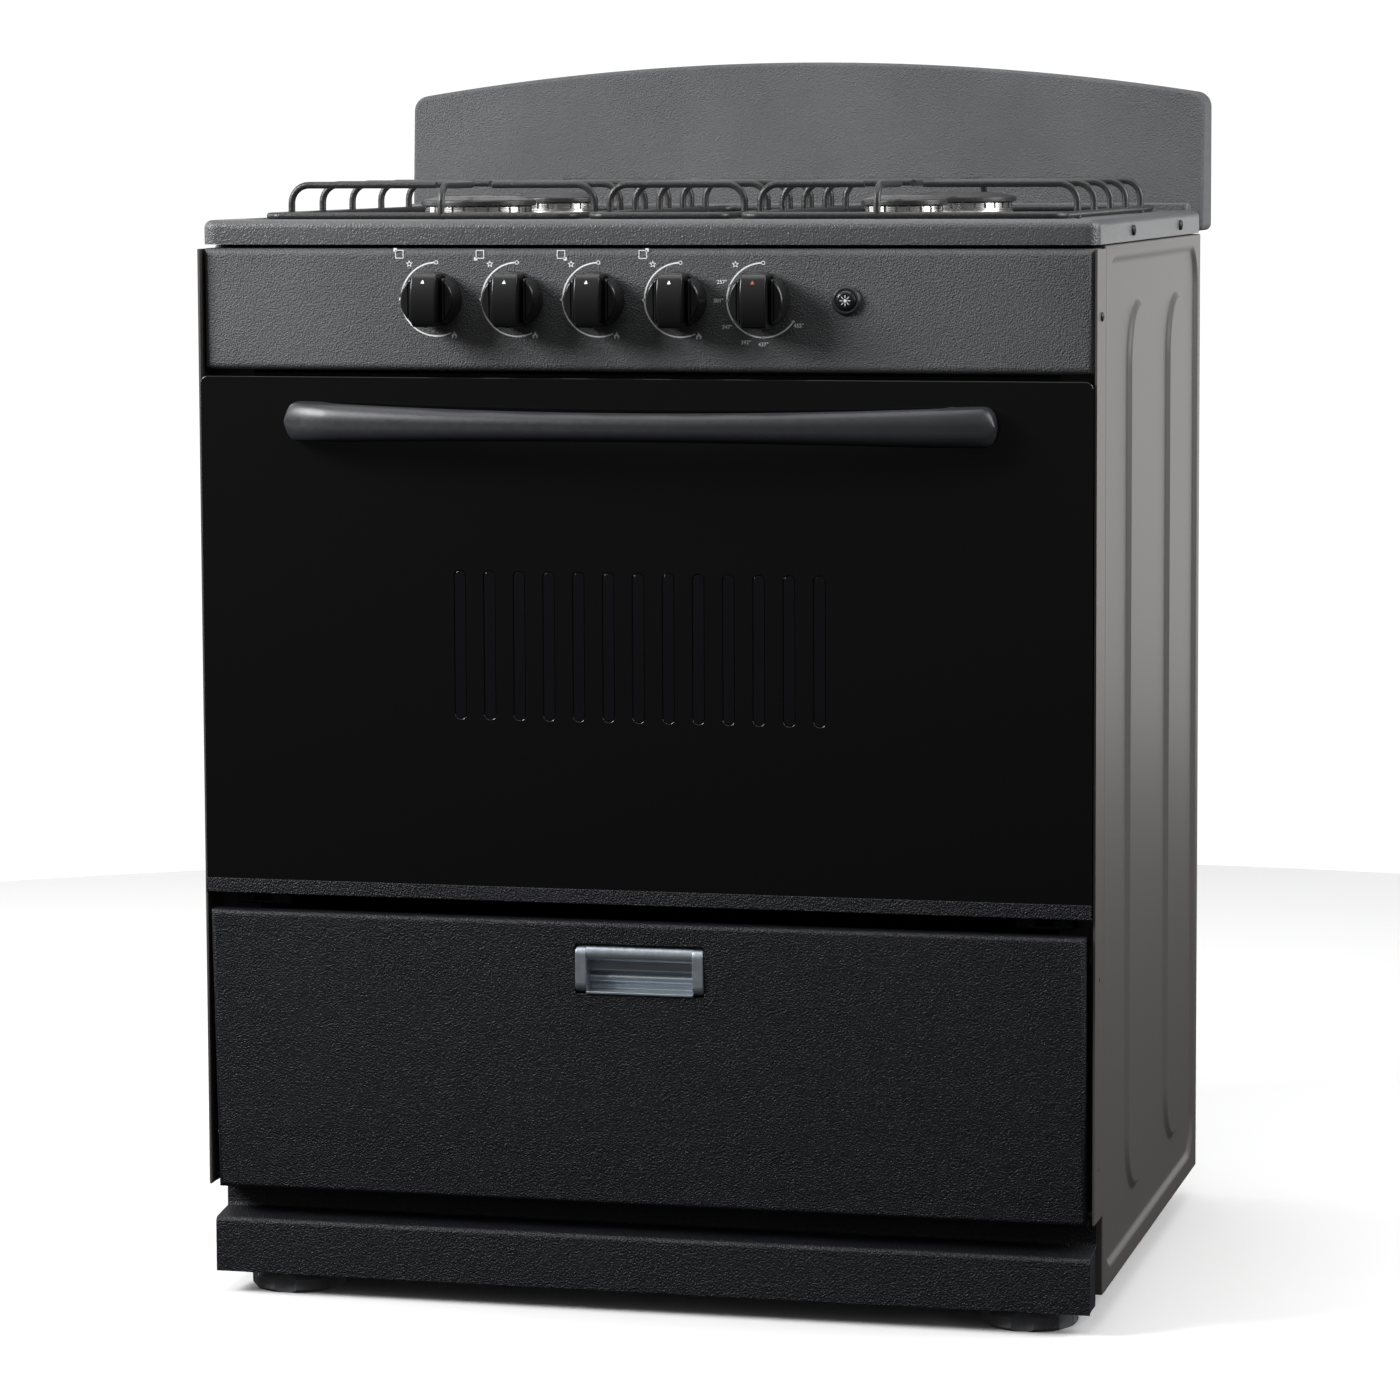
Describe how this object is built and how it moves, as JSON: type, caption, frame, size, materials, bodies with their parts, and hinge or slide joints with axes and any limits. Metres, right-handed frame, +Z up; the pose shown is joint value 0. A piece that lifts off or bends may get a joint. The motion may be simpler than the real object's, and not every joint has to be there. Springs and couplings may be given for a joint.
{
  "type": "freestanding gas range",
  "caption": "Freestanding gas range with wire grates, arched backguard, knobs on the front panel, drop-down glass oven door and drop-front storage compartment.",
  "frame": {"origin": "on the floor, at the centre of the range's footprint", "axes": "+Z up, -Y towards the front (door side), +X towards the range's right as seen from the front"},
  "size_m": [0.762, 0.715, 1.052],
  "materials": {
    "textured_paint": "fine textured graphite powder coat",
    "side_paint": "smooth satin grey-brown paint",
    "black_glass": "polished, back-printed black",
    "clear_glass": "clear heat-proof",
    "gloss_plastic": "glossy black",
    "satin_plastic": "satin blue-black",
    "aluminium": "polished cast",
    "brass": "as machined",
    "black_enamel": "satin black enamel on steel",
    "oven_enamel": "speckled vitreous enamel",
    "zinc_steel": "zinc plated",
    "bright_wire": "bright chromed wire",
    "seal_cord": "braided glass-fibre cord"
  },
  "bodies": {
    "chassis": {"left_side_panel": "side_paint", "right_side_panel": "side_paint", "left_front_post": "side_paint", "right_front_post": "side_paint", "left_hinge_bracket": "zinc_steel", "right_hinge_bracket": "zinc_steel", "rear_cover": "zinc_steel", "base_pan": "textured_paint", "plinth": "textured_paint", "oven_liner": "oven_enamel", "oven_bottom_plate": "oven_enamel", "oven_burner": "zinc_steel", "oven_lamp": "clear_glass", "door_seal": "seal_cord", "cooktop": "textured_paint", "control_panel": "textured_paint", "backguard": "textured_paint", "gas_manifold": "zinc_steel", "oven_thermostat": "brass", "light_bezel": "satin_plastic", "valve_rear_left": "brass", "valve_front_left": "brass", "valve_front_right": "brass", "valve_rear_right": "brass", "burner_base_rear_left": "aluminium", "burner_base_front_left": "aluminium", "burner_base_front_right": "aluminium", "burner_base_rear_right": "aluminium"},
    "oven_door": {"door_glass": "black_glass", "door_frame": "textured_paint", "door_window_glass": "clear_glass", "door_trim": "textured_paint", "door_handle": "satin_plastic"},
    "flap": {"storage_flap": "textured_paint", "flap_pull": "satin_plastic"},
    "rack": {"oven_rack": "bright_wire"},
    "light_button": {"light_button": "gloss_plastic"},
    "spindle_rear_left": {"spindle_rear_left": "zinc_steel"},
    "knob_rear_left": {"knob_rear_left": "gloss_plastic"},
    "spindle_front_left": {"spindle_front_left": "zinc_steel"},
    "knob_front_left": {"knob_front_left": "gloss_plastic"},
    "spindle_front_right": {"spindle_front_right": "zinc_steel"},
    "knob_front_right": {"knob_front_right": "gloss_plastic"},
    "spindle_rear_right": {"spindle_rear_right": "zinc_steel"},
    "knob_rear_right": {"knob_rear_right": "gloss_plastic"},
    "spindle_oven": {"spindle_oven": "zinc_steel"},
    "knob_oven": {"knob_oven": "gloss_plastic"},
    "grate_left": {"grate_left": "black_enamel"},
    "grate_middle": {"grate_middle": "black_enamel"},
    "grate_right": {"grate_right": "black_enamel"},
    "burner_cap_rear_left": {"burner_cap_rear_left": "black_enamel"},
    "burner_cap_front_left": {"burner_cap_front_left": "black_enamel"},
    "burner_cap_front_right": {"burner_cap_front_right": "black_enamel"},
    "burner_cap_rear_right": {"burner_cap_rear_right": "black_enamel"},
    "foot_front_left": {"foot_front_left": "gloss_plastic"},
    "foot_front_right": {"foot_front_right": "gloss_plastic"},
    "foot_rear_left": {"foot_rear_left": "gloss_plastic"},
    "foot_rear_right": {"foot_rear_right": "gloss_plastic"}
  },
  "joints": [
    {"name": "oven_door_hinge", "type": "hinge", "parent": "chassis", "child": "oven_door", "pos_m": [0, -0.2975, 0.354], "axis": [1, 0, 0], "range_deg": [0, 88]},
    {"name": "oven_rack_slide", "type": "slide", "parent": "chassis", "child": "rack", "axis": [0, -1, 0], "range_m": [0, 0.24]},
    {"name": "storage_flap_hinge", "type": "hinge", "parent": "chassis", "child": "flap", "pos_m": [0, -0.2955, 0.101], "axis": [1, 0, 0], "range_deg": [0, 88]},
    {"name": "light_button_push", "type": "slide", "parent": "chassis", "child": "light_button", "axis": [0, 1, 0], "range_m": [0, 0.002], "stiffness_N_per_m": 400},
    {"name": "spindle_rear_left_push", "type": "slide", "parent": "chassis", "child": "spindle_rear_left", "axis": [0, 1, 0], "range_m": [0, 0.003], "stiffness_N_per_m": 600},
    {"name": "knob_rear_left_turn", "type": "hinge", "parent": "spindle_rear_left", "child": "knob_rear_left", "pos_m": [-0.174, -0.305, 0.8484], "axis": [0, -1, 0], "range_deg": [0, 210]},
    {"name": "spindle_front_left_push", "type": "slide", "parent": "chassis", "child": "spindle_front_left", "axis": [0, 1, 0], "range_m": [0, 0.003], "stiffness_N_per_m": 600},
    {"name": "knob_front_left_turn", "type": "hinge", "parent": "spindle_front_left", "child": "knob_front_left", "pos_m": [-0.1044, -0.305, 0.8484], "axis": [0, -1, 0], "range_deg": [0, 210]},
    {"name": "spindle_front_right_push", "type": "slide", "parent": "chassis", "child": "spindle_front_right", "axis": [0, 1, 0], "range_m": [0, 0.003], "stiffness_N_per_m": 600},
    {"name": "knob_front_right_turn", "type": "hinge", "parent": "spindle_front_right", "child": "knob_front_right", "pos_m": [-0.0348, -0.305, 0.8484], "axis": [0, -1, 0], "range_deg": [0, 210]},
    {"name": "spindle_rear_right_push", "type": "slide", "parent": "chassis", "child": "spindle_rear_right", "axis": [0, 1, 0], "range_m": [0, 0.003], "stiffness_N_per_m": 600},
    {"name": "knob_rear_right_turn", "type": "hinge", "parent": "spindle_rear_right", "child": "knob_rear_right", "pos_m": [0.0348, -0.305, 0.8484], "axis": [0, -1, 0], "range_deg": [0, 210]},
    {"name": "spindle_oven_push", "type": "slide", "parent": "chassis", "child": "spindle_oven", "axis": [0, 1, 0], "range_m": [0, 0.003], "stiffness_N_per_m": 600},
    {"name": "knob_oven_turn", "type": "hinge", "parent": "spindle_oven", "child": "knob_oven", "pos_m": [0.1044, -0.305, 0.8484], "axis": [0, -1, 0], "range_deg": [0, 229]},
    {"name": "grate_left_lift", "type": "slide", "parent": "chassis", "child": "grate_left", "axis": [0, 0, 1], "range_m": [0, 0.1]},
    {"name": "grate_middle_lift", "type": "slide", "parent": "chassis", "child": "grate_middle", "axis": [0, 0, 1], "range_m": [0, 0.1]},
    {"name": "grate_right_lift", "type": "slide", "parent": "chassis", "child": "grate_right", "axis": [0, 0, 1], "range_m": [0, 0.1]},
    {"name": "burner_cap_rear_left_lift", "type": "slide", "parent": "chassis", "child": "burner_cap_rear_left", "axis": [0, 0, 1], "range_m": [0, 0.06]},
    {"name": "burner_cap_front_left_lift", "type": "slide", "parent": "chassis", "child": "burner_cap_front_left", "axis": [0, 0, 1], "range_m": [0, 0.06]},
    {"name": "burner_cap_front_right_lift", "type": "slide", "parent": "chassis", "child": "burner_cap_front_right", "axis": [0, 0, 1], "range_m": [0, 0.06]},
    {"name": "burner_cap_rear_right_lift", "type": "slide", "parent": "chassis", "child": "burner_cap_rear_right", "axis": [0, 0, 1], "range_m": [0, 0.06]},
    {"name": "foot_front_left_screw", "type": "hinge", "parent": "chassis", "child": "foot_front_left", "pos_m": [-0.319, -0.2555, 0], "axis": [0, 0, 1], "continuous": true},
    {"name": "foot_front_right_screw", "type": "hinge", "parent": "chassis", "child": "foot_front_right", "pos_m": [0.319, -0.2555, 0], "axis": [0, 0, 1], "continuous": true},
    {"name": "foot_rear_left_screw", "type": "hinge", "parent": "chassis", "child": "foot_rear_left", "pos_m": [-0.319, 0.2325, 0], "axis": [0, 0, 1], "continuous": true},
    {"name": "foot_rear_right_screw", "type": "hinge", "parent": "chassis", "child": "foot_rear_right", "pos_m": [0.319, 0.2325, 0], "axis": [0, 0, 1], "continuous": true}
  ],
  "couplings": [
    {"joint": "oven_rack_slide", "follows": "oven_door_hinge", "m_per_rad": 0.15},
    {"joint": "burner_cap_rear_left_lift", "follows": "grate_left_lift", "ratio": 0.55},
    {"joint": "burner_cap_front_left_lift", "follows": "grate_left_lift", "ratio": 0.55},
    {"joint": "burner_cap_front_right_lift", "follows": "grate_right_lift", "ratio": 0.55},
    {"joint": "burner_cap_rear_right_lift", "follows": "grate_right_lift", "ratio": 0.55}
  ]
}
